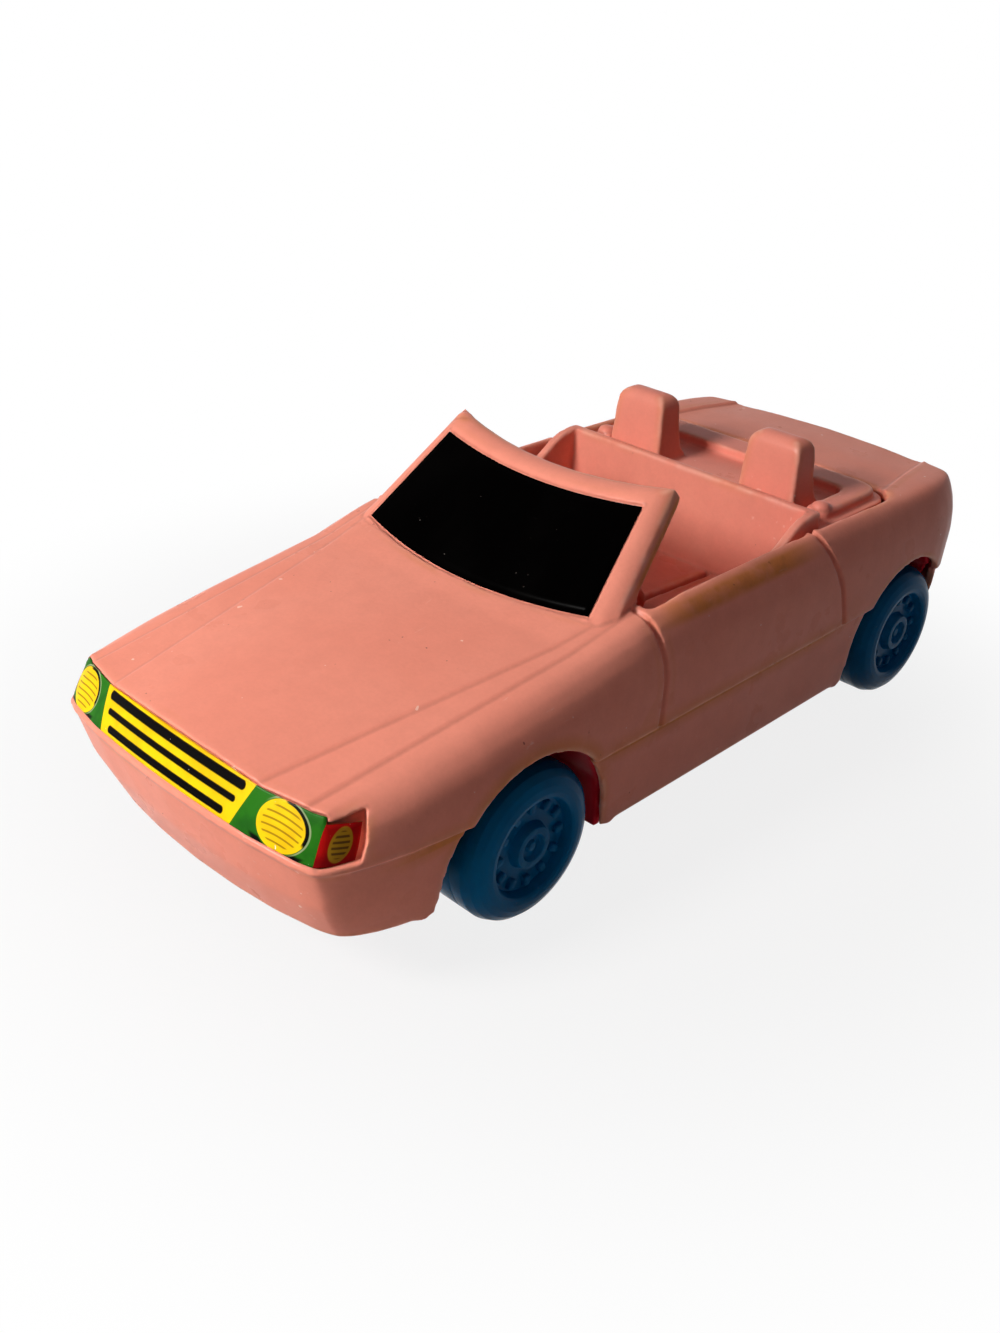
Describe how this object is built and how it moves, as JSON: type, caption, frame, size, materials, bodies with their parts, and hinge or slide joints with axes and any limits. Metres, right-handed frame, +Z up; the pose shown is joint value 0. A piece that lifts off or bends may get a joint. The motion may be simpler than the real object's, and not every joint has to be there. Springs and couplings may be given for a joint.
{
  "type": "toy convertible",
  "caption": "Open-topped push-along toy car: moulded body with windscreen frame, seat tub, base and free-rolling wheelsets, for small play figures.",
  "frame": {"origin": "midway between nose and tail on the centre plane, at the level that the wheels stand on", "axes": "+Z up, -Y towards the nose, +X towards the car's left side"},
  "size_m": [0.0524, 0.128, 0.0439],
  "materials": {
    "body_pink": "glossy moulded plastic, yellowed along its edges",
    "interior_pink": "satin moulded plastic",
    "base_red": "satin dark red moulded plastic",
    "screen_black": "black printed sheet",
    "nose_print": "printed sheet in yellow, green, red and black",
    "axle_steel": "bright drawn steel",
    "wheel_blue": "glossy blue moulded plastic",
    "screw_steel": "plated steel"
  },
  "bodies": {
    "car": {"body_shell": "body_pink", "interior_tub": "interior_pink", "chassis_base": "base_red", "windscreen_label": "screen_black", "nose_label": "nose_print", "screw_front": "screw_steel", "screw_rear": "screw_steel"},
    "front_wheelset": {"axle_front": "axle_steel", "wheel_front_left": "wheel_blue", "wheel_front_right": "wheel_blue"},
    "rear_wheelset": {"axle_rear": "axle_steel", "wheel_rear_left": "wheel_blue", "wheel_rear_right": "wheel_blue"}
  },
  "joints": [
    {"name": "front_roll", "type": "hinge", "parent": "car", "child": "front_wheelset", "pos_m": [0, -0.0316, 0.01], "axis": [1, 0, 0], "continuous": true},
    {"name": "rear_roll", "type": "hinge", "parent": "car", "child": "rear_wheelset", "pos_m": [0, 0.0486, 0.01], "axis": [1, 0, 0], "continuous": true}
  ]
}
